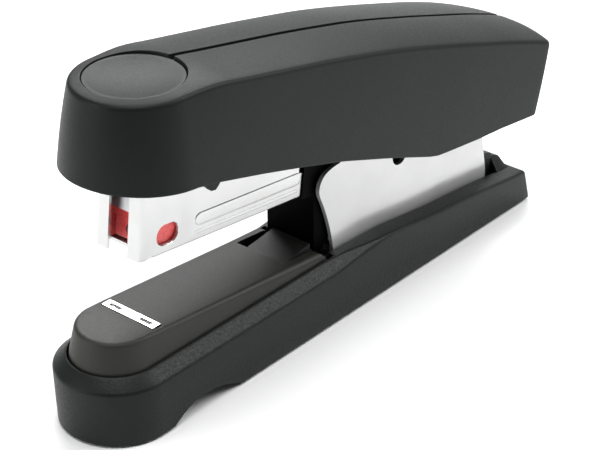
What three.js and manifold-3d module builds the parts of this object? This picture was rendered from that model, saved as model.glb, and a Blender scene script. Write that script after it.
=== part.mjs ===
// A desk stapler with a flat clinch, as an assembly of its real pieces.
// Millimetres. +X points to the rear, +Y to the far side, +Z up.
// The working frame has x = 0 at the staple line and z = 0 on the table.
// The exported group is shifted along X so that its origin is under the middle of the object.

import * as THREE from "three";
import { mergeVertices } from "three/addons/utils/BufferGeometryUtils.js";
import Module from "manifold-3d";

const wasm = await Module();
wasm.setup();

// ---- Driving dimensions ----

const GAP = 0.3; // between pieces that touch
const ARC_SEGMENTS = 14; // on a half turn
const ROUND_SIDES = 20;

// Base
const BASE_FRONT = -20.9;
const BASE_REAR = 147;
const BASE_HALF_WIDTH = 15.4;
const BASE_NOSE_X = BASE_FRONT + BASE_HALF_WIDTH;
const BASE_BOTTOM = 0.4;
const RIM_TOP = 18.4;
const RIM_BEVEL_DOWN = 2.9;
const RIM_BEVEL_IN = 3.4;
const RECESS_HALF_WIDTH = 11.9;
const RECESS_FLOOR = 6.6;
const RECESS_REAR = 62;
const WELL_HALF_WIDTH = 9.9;
const SLOT_REAR = 137;
const REAR_EDGE = 143.6; // top of the raked rear face
const REAR_EDGE_TOP = 10.8;
const BOSS_HALF_WIDTH = 8;
const COVER_FRONT = 42;
const COVER_REAR = 128;
const COVER_HALF_WIDTH = 12.4;

// Frame bracket
const PLATE_OUTER = 9.5;
const PLATE_THICKNESS = 1.2;
const PLATE_INNER = PLATE_OUTER - PLATE_THICKNESS;
const BRACKET_FLOOR = 3.2;
const BRACKET_FRONT = 64.5;
const BRACKET_REAR = 132;

// Main pivot, shared by the magazine and the handle
const PIVOT_X = 120;
const PIVOT_Z = 38;
const PIN_RADIUS = 3;
const BORE_RADIUS = PIN_RADIUS + GAP;
const PIN_HALF_LENGTH = 13;
const HUB_HALF_WIDTH = 7.9;
const STUD_X = 92;
const STUD_Z = 39.5;
const STUD_RADIUS = 2.6;
const STOP_SLOT_HALF_WIDTH = 3.1;
const STOP_SLOT_LOW = 35;
const STOP_SLOT_HIGH = 39.8;

// Magazine, in its own frame: origin at the pivot, u forwards is negative, w up
const MAGAZINE_TILT = THREE.MathUtils.degToRad(6.7);
const MAGAZINE_FRONT = -122.2;
const MAGAZINE_REAR = -66;
const MAGAZINE_BOTTOM = -8.2;
const MAGAZINE_TOP_FRONT = 8.4;
const MAGAZINE_TOP_REAR = 6;
const MAGAZINE_HALF_WIDTH = 7.5;
const SHEET = 0.8;
const FLANGE_SHEET = 0.7;
const FLANGE_SLOT_HALF_WIDTH = 3.2;
const RAIL_OUTER = 5.7;
const RAIL_TOP = -1.1;
const RAIL_BOTTOM = -7.1;
const RAIL_FRONT = -117.6;
const RAIL_REAR = -14;
const PUSHER_FRONT = -119.4;
const PUSHER_LENGTH = 12;
const PUSHER_TOP = 1.6;
const ROD_W = -3.4;
const ROD_RADIUS = 1.1;

// Driver blade
const BLADE_U = -120.6;
const BLADE_THICKNESS = 0.5;
const BLADE_TIP = 1.8;
const BLADE_TOP = 22.6;
const BLADE_HALF_WIDTH = 6.2;
const BLADE_LEAN = THREE.MathUtils.degToRad(2.1);

// Clinch arm
const ARM_NOSE_X = -5;
const ARM_HALF_WIDTH = 10.9;
const ARM_BOTTOM = 8.6;
const ARM_TOP_AT_ANVIL = 25.5;
const ARM_TOP_SLOPE = -0.09;
const ARM_REAR = 57;
const ARM_HOLLOW_HALF_WIDTH = 8.3;
const ARM_TOP_SHEET = 2.4;
const STOP_FRONT = 46.9;
const STOP_NEAR = -7.6;
const STOP_FAR = 5;
const ARM_PIN_X = 57;
const ARM_PIN_Z = 10.6;
const ARM_PIN_RADIUS = 1.5;
const ANVIL_HALF_LENGTH = 8.4;
const ANVIL_HALF_WIDTH = 1.35;
const ANVIL_TOP = 25.8;

// Handle
const HANDLE_NOSE_X = 4.5;
const HANDLE_NOSE_RADIUS = 15.4;
const HANDLE_REAR = 150;
const HANDLE_REAR_BOW = 6; // how far the rear corners lie ahead of the middle
const HANDLE_TOP = 88.6;
const HANDLE_HALF_WIDTH_REAR = 20.4;
const HANDLE_FLARE = 0.16; // how much wider the lower edge is than the top
const HANDLE_FLARE_DEPTH = 25; // over this height
const HANDLE_RAKE = 0.33; // of the rear face
const HANDLE_RAKE_TOP = 52.6;
const HANDLE_WALL = 2.2;
const DISH_X = 4.6;
const DISH_RADIUS = 12;
const DISH_Z = 87.4;

// Carrier inside the handle
const CARRIER_OUTER = 11;
const CARRIER_SHEET = 1.1;
const CARRIER_FRONT = 4.2;
const RIVET_Z = 72.4;
const RIVET_RADIUS = 1.5;

const ORIGIN_X = (BASE_FRONT + HANDLE_REAR) / 2;

// ---- Solids: booleans on closed three.js meshes ----

function solid(geometry) {
  const bare = geometry.index ? geometry.toNonIndexed() : geometry.clone();
  for (const name of Object.keys(bare.attributes)) {
    if (name !== "position") bare.deleteAttribute(name);
  }
  const merged = mergeVertices(bare, 1e-4);
  const mesh = new wasm.Mesh({
    numProp: 3,
    vertProperties: new Float32Array(merged.attributes.position.array),
    triVerts: new Uint32Array(merged.index.array),
  });
  return new wasm.Manifold(mesh);
}

function geometryOf(body) {
  const mesh = body.getMesh();
  const geometry = new THREE.BufferGeometry();
  geometry.setAttribute("position", new THREE.BufferAttribute(new Float32Array(mesh.vertProperties), 3));
  geometry.setIndex(new THREE.BufferAttribute(new Uint32Array(mesh.triVerts), 1));
  return geometry;
}

const cut = (body, ...tools) => tools.reduce((rest, tool) => rest.subtract(tool), body);
const join = (body, ...more) => more.reduce((sum, next) => sum.add(next), body);

// ---- Shapes ----

const outline = (points) => new THREE.Shape(points.map(([x, y]) => new THREE.Vector2(x, y)));

// A box between two corners.
function box(x0, x1, y0, y1, z0, z1) {
  const geometry = new THREE.BoxGeometry(x1 - x0, y1 - y0, z1 - z0);
  geometry.translate((x0 + x1) / 2, (y0 + y1) / 2, (z0 + z1) / 2);
  return solid(geometry);
}

// A plan outline drawn in X and Y, raised from z0 to z1.
function raised(shape, z0, z1, options = {}) {
  const settings = { depth: z1 - z0, bevelEnabled: false, curveSegments: ARC_SEGMENTS, ...options };
  return new THREE.ExtrudeGeometry(shape, settings).translate(0, 0, z0);
}

// A side profile drawn in X and Z, carried across from y0 to y1.
function across(shape, y0, y1) {
  const settings = { depth: y1 - y0, bevelEnabled: false, curveSegments: ARC_SEGMENTS };
  const geometry = new THREE.ExtrudeGeometry(shape, settings);
  geometry.rotateX(Math.PI / 2);
  geometry.translate(0, y1, 0);
  return solid(geometry);
}

// Round bars along each axis.
function barAlongY(x, z, radius, y0, y1, sides = ROUND_SIDES) {
  const geometry = new THREE.CylinderGeometry(radius, radius, y1 - y0, sides);
  return solid(geometry.translate(x, (y0 + y1) / 2, z));
}

function barAlongZ(x, y, radius, z0, z1, sides = ROUND_SIDES) {
  const geometry = new THREE.CylinderGeometry(radius, radius, z1 - z0, sides);
  geometry.rotateX(Math.PI / 2);
  return solid(geometry.translate(x, y, (z0 + z1) / 2));
}

function barAlongX(y, z, radius, x0, x1, sides = ROUND_SIDES) {
  const geometry = new THREE.CylinderGeometry(radius, radius, x1 - x0, sides);
  geometry.rotateZ(Math.PI / 2);
  return solid(geometry.translate((x0 + x1) / 2, y, z));
}

// A slot with round ends, centred on (x, z), drawn in X and Z.
function stadium(x, z, halfLength, radius, vertical = false) {
  const shape = new THREE.Shape();
  const reach = halfLength - radius;
  if (vertical) {
    shape.absarc(x, z + reach, radius, 0, Math.PI, false);
    shape.absarc(x, z - reach, radius, Math.PI, 2 * Math.PI, false);
  } else {
    shape.absarc(x + reach, z, radius, -Math.PI / 2, Math.PI / 2, false);
    shape.absarc(x - reach, z, radius, Math.PI / 2, (3 * Math.PI) / 2, false);
  }
  shape.closePath();
  return shape;
}

// A long plan outline: a round nose at the front, a half width that may grow to the rear,
// and a rear edge that may bow outwards in the middle.
function nosed(noseX, noseRadius, rearEnd, rearHalfWidth = noseRadius, bow = 0) {
  const rearX = rearEnd - bow;
  const shape = new THREE.Shape();
  shape.moveTo(rearX, -rearHalfWidth);
  if (bow > 0) shape.quadraticCurveTo(rearX + 2 * bow, 0, rearX, rearHalfWidth);
  else shape.lineTo(rearX, rearHalfWidth);
  const sidePoint = (t, side) =>
    shape.lineTo(
      THREE.MathUtils.lerp(rearX, noseX, t),
      side * THREE.MathUtils.lerp(rearHalfWidth, noseRadius, t)
    );
  for (const t of [0.25, 0.5, 0.75]) sidePoint(t, 1);
  shape.absarc(noseX, 0, noseRadius, Math.PI / 2, (3 * Math.PI) / 2, false);
  for (const t of [0.75, 0.5, 0.25]) sidePoint(t, -1);
  shape.closePath();
  return shape;
}

// A helical spring standing on z0, in world millimetres.
function helixAlongZ(x, y, radius, wire, z0, z1, turns) {
  class Helix extends THREE.Curve {
    getPoint(t, target = new THREE.Vector3()) {
      const angle = 2 * Math.PI * turns * t;
      return target.set(x + radius * Math.cos(angle), y + radius * Math.sin(angle), z0 + (z1 - z0) * t);
    }
  }
  return tube(new Helix(), wire, turns * 10);
}

// The same along X.
function helixAlongX(y, z, radius, wire, x0, x1, turns) {
  class Helix extends THREE.Curve {
    getPoint(t, target = new THREE.Vector3()) {
      const angle = 2 * Math.PI * turns * t;
      return target.set(x0 + (x1 - x0) * t, y + radius * Math.cos(angle), z + radius * Math.sin(angle));
    }
  }
  return tube(new Helix(), wire, turns * 7);
}

function tube(path, wire, steps) {
  const section = new THREE.Shape();
  section.absarc(0, 0, wire / 2, 0, 2 * Math.PI, false);
  const settings = { steps, extrudePath: path, bevelEnabled: false, curveSegments: 3 };
  return solid(new THREE.ExtrudeGeometry(section, settings));
}

// ---- Materials ----

const finish = (color, roughness, metalness = 0) =>
  new THREE.MeshStandardMaterial({ color, roughness, metalness });

const blackPlastic = () => finish(0x26292a, 0.55);
const greyPlastic = () => finish(0x3c3d3a, 0.7);
const nickel = () => finish(0xd8d9da, 0.18, 1);
const steel = () => finish(0x9a9c9e, 0.35, 1);
const redPlastic = () => finish(0xb03034, 0.4);
const blackRubber = () => finish(0x17181a, 0.9);

function piece(name, body, material) {
  const mesh = new THREE.Mesh(geometryOf(body), material);
  mesh.name = name;
  return mesh;
}

// ---- Base ----

const FEET = [
  [-8, 0, 7],
  [33, -10.3, 3.6],
  [33, 10.3, 3.6],
  [137, -10.3, 3.6],
  [137, 10.3, 3.6],
];
const FOOT_NAMES = ["front", "mid_near", "mid_far", "rear_near", "rear_far"];
const FOOT_THICKNESS = 1.7;

// Side profile of the shell: long sloping top, raked rear face.
function baseProfile() {
  return outline([
    [BASE_FRONT - 1, BASE_BOTTOM],
    [BASE_REAR, BASE_BOTTOM],
    [REAR_EDGE, REAR_EDGE_TOP],
    [121.5, 13.1],
    [103, 14.7],
    [82.4, 17.6],
    [62, RIM_TOP],
    [BASE_FRONT - 1, RIM_TOP],
  ]);
}

// The arch behind the front foot, right across the underside.
function baseArch() {
  const shape = new THREE.Shape();
  shape.moveTo(-2, BASE_BOTTOM - 1);
  shape.lineTo(-2, BASE_BOTTOM);
  shape.quadraticCurveTo(1.5, 4.5, 9, 4.5);
  shape.quadraticCurveTo(17, 4.3, 24.4, BASE_BOTTOM);
  shape.lineTo(24.4, BASE_BOTTOM - 1);
  shape.closePath();
  return across(shape, -BASE_HALF_WIDTH - 1, BASE_HALF_WIDTH + 1);
}

// The boss behind the well carries on the line of the bracket cover.
function rearBoss() {
  const shape = outline([
    [SLOT_REAR, 4],
    [SLOT_REAR, 16.5],
    [140.1, 15],
    [142.6, 12.8],
    [REAR_EDGE, REAR_EDGE_TOP],
    [REAR_EDGE, 4],
  ]);
  return across(shape, -BOSS_HALF_WIDTH, BOSS_HALF_WIDTH);
}

function baseShell() {
  const plan = nosed(BASE_NOSE_X, BASE_HALF_WIDTH, BASE_REAR);
  const bevel = {
    bevelEnabled: true,
    bevelSegments: 1,
    bevelThickness: RIM_BEVEL_DOWN,
    bevelSize: RIM_BEVEL_IN,
    bevelOffset: -RIM_BEVEL_IN,
  };
  const lower = solid(raised(plan, BASE_BOTTOM, RIM_TOP - RIM_BEVEL_DOWN));
  const rim = solid(raised(plan, 8, RIM_TOP - RIM_BEVEL_DOWN, bevel));
  const outer = join(lower, rim).intersect(across(baseProfile(), -20, 20));
  const recess = solid(raised(nosed(-5.5, RECESS_HALF_WIDTH, RECESS_REAR), RECESS_FLOOR, 30));
  const well = box(RECESS_REAR - 6, SLOT_REAR, -WELL_HALF_WIDTH, WELL_HALF_WIDTH, 2.7, 30);
  const coverSide = COVER_HALF_WIDTH + GAP;
  const coverPocket = box(COVER_FRONT - GAP, COVER_REAR + GAP, -coverSide, coverSide, 0, 2.7);
  const pinHole = barAlongY(ARM_PIN_X, ARM_PIN_Z, ARM_PIN_RADIUS + GAP, -14, 14, 16);
  const footPockets = FEET.map(([x, y, r]) => barAlongZ(x, y, r + GAP, -1, FOOT_THICKNESS + GAP, 24));
  const body = cut(join(outer, rearBoss()), baseArch(), recess, well, coverPocket, pinHole, ...footPockets);
  return piece("base_shell", body, blackPlastic());
}

const SCREW_X = [72, 112];

function baseCover() {
  const plate = box(COVER_FRONT, COVER_REAR, -COVER_HALF_WIDTH, COVER_HALF_WIDTH, 1, 2.2);
  const holes = SCREW_X.map((x) => barAlongZ(x, 0, 1.9, 0, 4, 20));
  return piece("base_cover", cut(plate, ...holes), steel());
}

function coverScrews() {
  return SCREW_X.map((x, i) => {
    const head = barAlongZ(x, 0, 3.2, 0.1, 0.7, 20);
    const shank = barAlongZ(x, 0, 1.5, 0.6, 7.6, 16);
    const drive = box(x - 2.2, x + 2.2, -0.35, 0.35, 0, 0.35);
    return piece(`cover_screw_${i + 1}`, cut(join(head, shank), drive), steel());
  });
}

function footPads() {
  return FEET.map(([x, y, r], i) =>
    piece(`foot_pad_${FOOT_NAMES[i]}`, barAlongZ(x, y, r, 0, FOOT_THICKNESS, 24), blackRubber())
  );
}

// ---- Frame bracket: a U of sheet steel ----

function bracketProfile() {
  const shape = new THREE.Shape();
  shape.moveTo(BRACKET_FRONT, BRACKET_FLOOR);
  shape.lineTo(BRACKET_FRONT, 18.2);
  shape.quadraticCurveTo(63.4, 26, 59.8, 34.3);
  shape.quadraticCurveTo(57.6, 38, 60.2, 40.8);
  shape.quadraticCurveTo(62, 42.4, 66, 42.5);
  shape.lineTo(96, 46);
  shape.lineTo(PIVOT_X, 46.5);
  shape.absarc(PIVOT_X, PIVOT_Z, 8.5, Math.PI / 2, -0.35, true);
  shape.lineTo(BRACKET_REAR, 14.2);
  shape.lineTo(BRACKET_REAR, BRACKET_FLOOR);
  shape.closePath();
  return shape;
}

function frameBracket() {
  const block = across(bracketProfile(), -PLATE_OUTER, PLATE_OUTER);
  const inside = box(40, 150, -PLATE_INNER, PLATE_INNER, BRACKET_FLOOR + PLATE_THICKNESS, 60);
  const pivotHole = barAlongY(PIVOT_X, PIVOT_Z, BORE_RADIUS, -20, 20);
  const middle = (STOP_SLOT_LOW + STOP_SLOT_HIGH) / 2;
  const halfLength = (STOP_SLOT_HIGH - STOP_SLOT_LOW) / 2 + STOP_SLOT_HALF_WIDTH;
  const stopSlot = across(stadium(STUD_X, middle, halfLength, STOP_SLOT_HALF_WIDTH, true), -20, 20);
  const screwHoles = SCREW_X.map((x) => barAlongZ(x, 0, 1.9, 0, 8, 20));
  const body = cut(block, inside, pivotHole, stopSlot, ...screwHoles);
  return piece("frame_bracket", body, nickel());
}

// The raised piece between the plates, over the rear of the well.
function bracketCover() {
  const shape = new THREE.Shape();
  shape.moveTo(99, 8.4);
  shape.lineTo(99, 17);
  shape.lineTo(104, 18.4);
  shape.lineTo(131, 18.4);
  shape.quadraticCurveTo(134, 18.2, SLOT_REAR - GAP, 16.7);
  shape.lineTo(SLOT_REAR - GAP, 8.4);
  shape.closePath();
  const block = across(shape, -BOSS_HALF_WIDTH, BOSS_HALF_WIDTH);
  const hollow = box(101, 134.5, -6.2, 6.2, 0, 15);
  return piece("bracket_cover", cut(block, hollow), blackPlastic());
}

function pivotPin() {
  const bar = barAlongY(PIVOT_X, PIVOT_Z, PIN_RADIUS, -PIN_HALF_LENGTH, PIN_HALF_LENGTH);
  return piece("pivot_pin", bar, steel());
}

function retainingRings() {
  return [-1, 1].map((side) => {
    const y0 = side > 0 ? 11.6 : -12.4;
    const disc = barAlongY(PIVOT_X, PIVOT_Z, 5, y0, y0 + 0.8);
    const ring = cut(disc, barAlongY(PIVOT_X, PIVOT_Z, BORE_RADIUS, -20, 20));
    const name = side > 0 ? "retaining_ring_far" : "retaining_ring_near";
    const mouth = box(PIVOT_X - 1.2, PIVOT_X + 1.2, -20, 20, PIVOT_Z - 9, PIVOT_Z);
    return piece(name, cut(ring, mouth), steel());
  });
}

// ---- Clinch arm: the anvil housing, tilting on a pin inside the base ----

const armTopAt = (x) => ARM_TOP_AT_ANVIL + ARM_TOP_SLOPE * x;

// Narrows the front of the raised outline towards the top, as a drafted nose.
function draftNose(geometry, noseX, zLow, zHigh, amount) {
  const position = geometry.attributes.position;
  for (let i = 0; i < position.count; i++) {
    const rise = THREE.MathUtils.clamp((position.getZ(i) - zLow) / (zHigh - zLow), 0, 1);
    const shrink = 1 - amount * rise;
    const x = position.getX(i);
    if (x < noseX) position.setX(i, noseX + (x - noseX) * shrink * (1 - 0.06 * rise));
    position.setY(i, position.getY(i) * shrink);
  }
  return geometry;
}

function anvilHousing() {
  const plan = nosed(ARM_NOSE_X, ARM_HALF_WIDTH, 64, 11.3);
  const block = solid(draftNose(raised(plan, ARM_BOTTOM, 27), ARM_NOSE_X, 16, 27, 0.09));
  const side = outline([
    [-20, ARM_BOTTOM],
    [54, ARM_BOTTOM],
    [60.5, ARM_BOTTOM + 1],
    [60.5, ARM_PIN_Z + 4],
    [59, armTopAt(ARM_REAR) - 1.4],
    [ARM_REAR, armTopAt(ARM_REAR)],
    [-20, armTopAt(-20)],
  ]);
  const shaped = block.intersect(across(side, -20, 20));
  const half = ARM_HOLLOW_HALF_WIDTH;
  const inner = outline([
    [-13, 5],
    [66, 5],
    [66, 30],
    [ARM_REAR + 0.6, 30],
    [ARM_REAR + 0.6, armTopAt(ARM_REAR) - ARM_TOP_SHEET],
    [-13, armTopAt(-13) - ARM_TOP_SHEET],
  ]);
  const hollow = across(inner, -half, half).intersect(solid(raised(nosed(-5, half, 66), 0, 40)));
  const pinBore = barAlongY(ARM_PIN_X, ARM_PIN_Z, ARM_PIN_RADIUS + GAP, -20, 20, 16);
  const seatX = ANVIL_HALF_WIDTH + GAP;
  const seatY = ANVIL_HALF_LENGTH + GAP;
  const seat = box(-seatX, seatX, -seatY, seatY, 24.3, 30);
  const stopSeat = box(STOP_FRONT, 66, STOP_NEAR - GAP, STOP_FAR + GAP, armTopAt(STOP_FRONT) - 1.5, 30);
  const slot = box(STOP_FRONT, 66, STOP_FAR, half, 12, 30);
  return piece("anvil_housing", cut(shaped, hollow, pinBore, seat, stopSeat, slot), greyPlastic());
}

// The bright plate with two pairs of clinch grooves.
function anvilPlate() {
  const [w, l] = [ANVIL_HALF_WIDTH, ANVIL_HALF_LENGTH];
  const plate = box(-w, w, -l, l, 24.6, ANVIL_TOP);
  const grooves = [-1, 1].map((side) => barAlongX(side * 5, ANVIL_TOP + 3.2, 3.8, -0.6, 0.6, 40));
  return piece("anvil_plate", cut(plate, ...grooves), nickel());
}

function armPin() {
  return piece("arm_pin", barAlongY(ARM_PIN_X, ARM_PIN_Z, ARM_PIN_RADIUS, -13.5, 13.5, 16), steel());
}

function armSpring() {
  return piece("arm_spring", helixAlongZ(22, 0, 3.6, 0.9, RECESS_FLOOR + 0.8, 20.2, 5), steel());
}

// The tongue behind the arm's top, rising a little towards the rear, where the paper stops.
function paperStop() {
  const top = armTopAt(STOP_FRONT);
  const shape = outline([
    [STOP_FRONT + GAP, top - 1.2],
    [STOP_FRONT + GAP, top - 0.3],
    [50, top],
    [57.4, top + 1],
    [57.4, top - 1.2],
  ]);
  return piece("paper_stop", across(shape, STOP_NEAR, STOP_FAR), blackPlastic());
}

// ---- Magazine, in its own tilted frame ----

const magazineTopAt = (u) =>
  THREE.MathUtils.mapLinear(u, MAGAZINE_FRONT, MAGAZINE_REAR, MAGAZINE_TOP_FRONT, MAGAZINE_TOP_REAR);

function magazineChannel() {
  const side = outline([
    [MAGAZINE_FRONT, MAGAZINE_BOTTOM],
    [MAGAZINE_REAR, MAGAZINE_BOTTOM],
    [MAGAZINE_REAR, MAGAZINE_TOP_REAR],
    [MAGAZINE_FRONT, MAGAZINE_TOP_FRONT],
  ]);
  const block = across(side, -MAGAZINE_HALF_WIDTH, MAGAZINE_HALF_WIDTH);
  const inner = MAGAZINE_HALF_WIDTH - SHEET;
  const channel = box(MAGAZINE_FRONT + FLANGE_SHEET, 0, -inner, inner, MAGAZINE_BOTTOM + SHEET, 30);
  const gapSide = FLANGE_SLOT_HALF_WIDTH;
  const frontSlot = box(-130, -110, -gapSide, gapSide, MAGAZINE_BOTTOM + 1, 30);
  const exit = box(MAGAZINE_FRONT + FLANGE_SHEET, -119.2, -inner, inner, MAGAZINE_BOTTOM - 1, 0);
  const frontNotch = box(-130, -120, -gapSide, gapSide, -20, 0);
  const window = across(stadium(-114.5, -3.3, 3.65, 2.6), -20, 20);
  const rib = stadium(-85.8, -2.7, 19.3, 1.7);
  const ribs = [
    across(rib, MAGAZINE_HALF_WIDTH - 0.4, MAGAZINE_HALF_WIDTH + 0.3),
    across(rib, -MAGAZINE_HALF_WIDTH - 0.3, -MAGAZINE_HALF_WIDTH + 0.4),
  ];
  const body = join(cut(block, channel, frontSlot, exit, frontNotch, window), ...ribs);
  return piece("magazine_channel", body, nickel());
}

// The black hub carries the steel channel and turns on the main pivot.
function magazineHub() {
  const front = MAGAZINE_REAR + GAP;
  const shape = new THREE.Shape();
  shape.moveTo(front, MAGAZINE_TOP_REAR);
  shape.lineTo(front, -8.7);
  shape.lineTo(-60.8, -9);
  shape.lineTo(-58.9, -25.2);
  shape.lineTo(-55.4, -25.6);
  shape.quadraticCurveTo(-52, -18.4, -44, -17.5);
  shape.lineTo(-24, -8.5);
  shape.lineTo(-6, -8.2);
  shape.absarc(0, 0, 7.6, -2.2, Math.PI / 2, false);
  shape.lineTo(-30, 6);
  shape.closePath();
  const block = across(shape, -HUB_HALF_WIDTH, HUB_HALF_WIDTH);
  const channel = box(-80, -12, -6.7, 6.7, MAGAZINE_BOTTOM + SHEET, 30);
  const underside = box(-57.2, -34, -6.4, 6.4, -30, -9.8);
  const bore = barAlongY(0, 0, BORE_RADIUS, -20, 20);
  const dx = STUD_X - PIVOT_X;
  const dz = STUD_Z - PIVOT_Z;
  const u = dx * Math.cos(MAGAZINE_TILT) - dz * Math.sin(MAGAZINE_TILT);
  const w = dx * Math.sin(MAGAZINE_TILT) + dz * Math.cos(MAGAZINE_TILT);
  const studs = [
    barAlongY(u, w, STUD_RADIUS, HUB_HALF_WIDTH - 0.5, PLATE_OUTER - 0.2),
    barAlongY(u, w, STUD_RADIUS, -PLATE_OUTER + 0.2, -HUB_HALF_WIDTH + 0.5),
  ];
  return piece("magazine_hub", join(cut(block, channel, underside, bore), ...studs), blackPlastic());
}

// The rail that the staples straddle: a thin U.
function stapleRail() {
  const block = box(RAIL_FRONT, RAIL_REAR, -RAIL_OUTER, RAIL_OUTER, RAIL_BOTTOM, RAIL_TOP);
  const inner = RAIL_OUTER - SHEET;
  const channel = box(RAIL_FRONT - 1, RAIL_REAR - 2, -inner, inner, RAIL_BOTTOM + SHEET, 10);
  const rodHole = barAlongX(0, ROD_W, ROD_RADIUS + GAP, RAIL_REAR - 3, RAIL_REAR + 1, 16);
  return piece("staple_rail", cut(block, channel, rodHole), steel());
}

function guideRod() {
  const rod = barAlongX(0, ROD_W, ROD_RADIUS, PUSHER_FRONT + 0.1, RAIL_REAR + 0.6, 16);
  return piece("guide_rod", rod, steel());
}

function pusherSpring() {
  const front = PUSHER_FRONT + PUSHER_LENGTH + 0.6;
  return piece("pusher_spring", helixAlongX(0, ROD_W, 1.9, 0.5, front, RAIL_REAR - 2.6, 26), steel());
}

// The red pusher runs inside the rail, with a head above it and a skirt on each side.
function pusher() {
  const rear = PUSHER_FRONT + PUSHER_LENGTH;
  const core = box(PUSHER_FRONT, rear, -4.5, 4.5, RAIL_BOTTOM + SHEET + GAP, PUSHER_TOP);
  const head = box(PUSHER_FRONT, rear, -6.4, 6.4, RAIL_TOP + GAP, PUSHER_TOP);
  const skirts = [
    box(PUSHER_FRONT, rear, 6, 6.4, -7, PUSHER_TOP),
    box(PUSHER_FRONT, rear, -6.4, -6, -7, PUSHER_TOP),
  ];
  const bore = barAlongX(0, ROD_W, ROD_RADIUS + GAP, PUSHER_FRONT - 1, rear + 1, 16);
  return piece("pusher", cut(join(core, head, ...skirts), bore), redPlastic());
}

// The lift spring stands in the well and pushes the hub up.
function liftSpring() {
  return piece("lift_spring", helixAlongZ(74, 0, 4.4, 1.1, 5.4, 20.6, 5), steel());
}

// ---- Handle ----

// Widens the lower part of the handle's outline and rakes its rear face.
function flare(geometry) {
  const position = geometry.attributes.position;
  for (let i = 0; i < position.count; i++) {
    const drop = Math.max(HANDLE_TOP - position.getZ(i), 0) / HANDLE_FLARE_DEPTH;
    const x = position.getX(i);
    const rearward = THREE.MathUtils.clamp((x - HANDLE_NOSE_X) / (HANDLE_REAR - HANDLE_NOSE_X), 0, 1);
    const grow = 1 + HANDLE_FLARE * drop * (1 - 0.8 * rearward);
    if (x < HANDLE_NOSE_X) position.setX(i, HANDLE_NOSE_X + (x - HANDLE_NOSE_X) * grow);
    position.setY(i, position.getY(i) * grow);
    const rake = HANDLE_RAKE * Math.max(HANDLE_RAKE_TOP - position.getZ(i), 0);
    if (x > HANDLE_REAR - 20) position.setX(i, x - rake);
  }
  return geometry;
}

// Side profile of the handle; inset draws the hollow, which is open below.
function handleProfile(inset) {
  const below = inset > 0 ? 40 : 0;
  return outline([
    [-16, 66.2 - below],
    [5, 64.2 - below],
    [28, 58.4 - below],
    [57, 49.8 - below],
    [77, 43.2 - below],
    [96, 37.4 - below],
    [115, 35.4 - below],
    [HANDLE_REAR + 1, 32 - below],
    [HANDLE_REAR + 1, 52.2 - inset],
    [144, 54.9 - inset],
    [131.8, 59.2 - inset],
    [120, 62.9 - inset],
    [103, 68 - inset],
    [83, 73.7 - inset],
    [68, 77.2 - inset],
    [53.6, 80.5 - inset],
    [39.7, 83.3 - inset],
    [26.4, 85.9 - inset],
    [15, 88 - inset],
    [5, HANDLE_TOP - inset],
    [-16, HANDLE_TOP - inset],
  ]);
}

function handleShell() {
  const plan = nosed(
    HANDLE_NOSE_X,
    HANDLE_NOSE_RADIUS,
    HANDLE_REAR,
    HANDLE_HALF_WIDTH_REAR,
    HANDLE_REAR_BOW
  );
  const hollowPlan = nosed(
    HANDLE_NOSE_X,
    HANDLE_NOSE_RADIUS - HANDLE_WALL,
    HANDLE_REAR - HANDLE_WALL,
    HANDLE_HALF_WIDTH_REAR - HANDLE_WALL,
    HANDLE_REAR_BOW
  );
  const block = solid(flare(raised(plan, 25, 90, { steps: 5 })));
  const outer = block.intersect(across(handleProfile(0), -30, 30));
  const core = solid(flare(raised(hollowPlan, 10, 90, { steps: 5 })));
  const hollow = core.intersect(across(handleProfile(HANDLE_WALL), -30, 30));
  const dish = barAlongZ(DISH_X, 0, DISH_RADIUS + GAP, DISH_Z - 0.2, 95, 40);
  const groove = outline([
    [15, 86.6],
    [68, 76],
    [103, 66.8],
    [HANDLE_REAR + 1, 51],
    [HANDLE_REAR + 1, 95],
    [15, 95],
  ]);
  return piece("handle_shell", cut(outer, hollow, dish, across(groove, -0.5, 0.5)), blackPlastic());
}

// The round pad in the dish.
function thumbPad() {
  const disc = barAlongZ(DISH_X, 0, DISH_RADIUS, DISH_Z + 0.1, DISH_Z + 0.9, 40);
  return piece("thumb_pad", disc, blackPlastic());
}

function carrierProfile(inset) {
  return outline([
    [CARRIER_FRONT, 68 - inset * 20],
    [40, 61 - inset * 20],
    [100, 47 - inset * 20],
    [112, 33 - inset * 20],
    [125.5, 33 - inset * 20],
    [125.5, 43],
    [112, 53 - inset],
    [40, 69 - inset],
    [CARRIER_FRONT, 77 - inset],
  ]);
}

// The steel carrier: an inverted channel with two ears on the pivot and a front lip for the blade.
function handleCarrier() {
  const block = across(carrierProfile(0), -CARRIER_OUTER, CARRIER_OUTER);
  const inner = CARRIER_OUTER - CARRIER_SHEET;
  const inside = across(carrierProfile(CARRIER_SHEET), -inner, inner);
  const front = box(CARRIER_FRONT + CARRIER_SHEET, 140, -30, 30, -10, 100);
  const earGap = box(112, 140, -inner, inner, 0, 100);
  const noseTrim = box(-5, 10, -30, 30, 0, 70.3);
  const bore = barAlongY(PIVOT_X, PIVOT_Z, BORE_RADIUS, -20, 20);
  const rivetHole = barAlongX(0, RIVET_Z, RIVET_RADIUS + GAP, 0, 8);
  const body = cut(block, inside.intersect(front), earGap, noseTrim, bore, rivetHole);
  return piece("handle_carrier", body, steel());
}

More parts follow.
